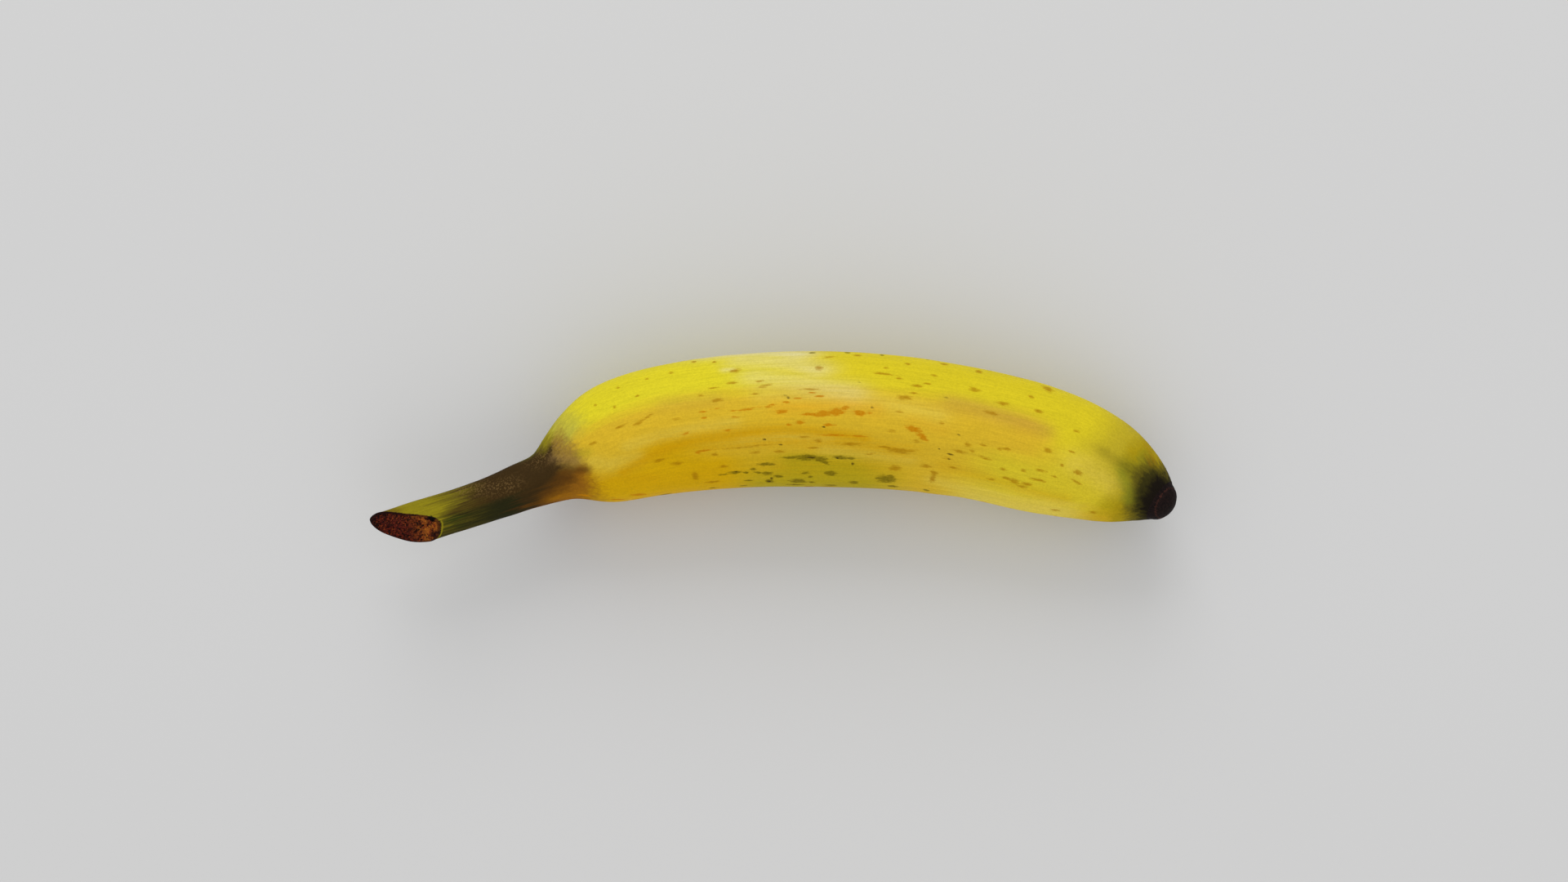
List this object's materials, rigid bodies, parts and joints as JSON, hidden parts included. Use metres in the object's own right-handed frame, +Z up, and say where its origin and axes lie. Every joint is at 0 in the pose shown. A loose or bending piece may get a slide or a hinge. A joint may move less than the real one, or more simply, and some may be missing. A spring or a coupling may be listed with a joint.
{
  "type": "banana",
  "caption": "A ripe curved fruit lying on its side, with a long stalk cut at a slant, a plump softly ridged body and a short dried nub at its tip.",
  "frame": {"origin": "On the table, under the middle of the outline as seen from above.", "axes": "+X runs from the stalk to the tip, +Y is the bulging back of the curve, and +Z is up, away from the table."},
  "size_m": [0.215, 0.0506, 0.0355],
  "materials": {
    "peel": "satin"
  },
  "bodies": {
    "root": {"banana": "peel"}
  },
  "joints": []
}
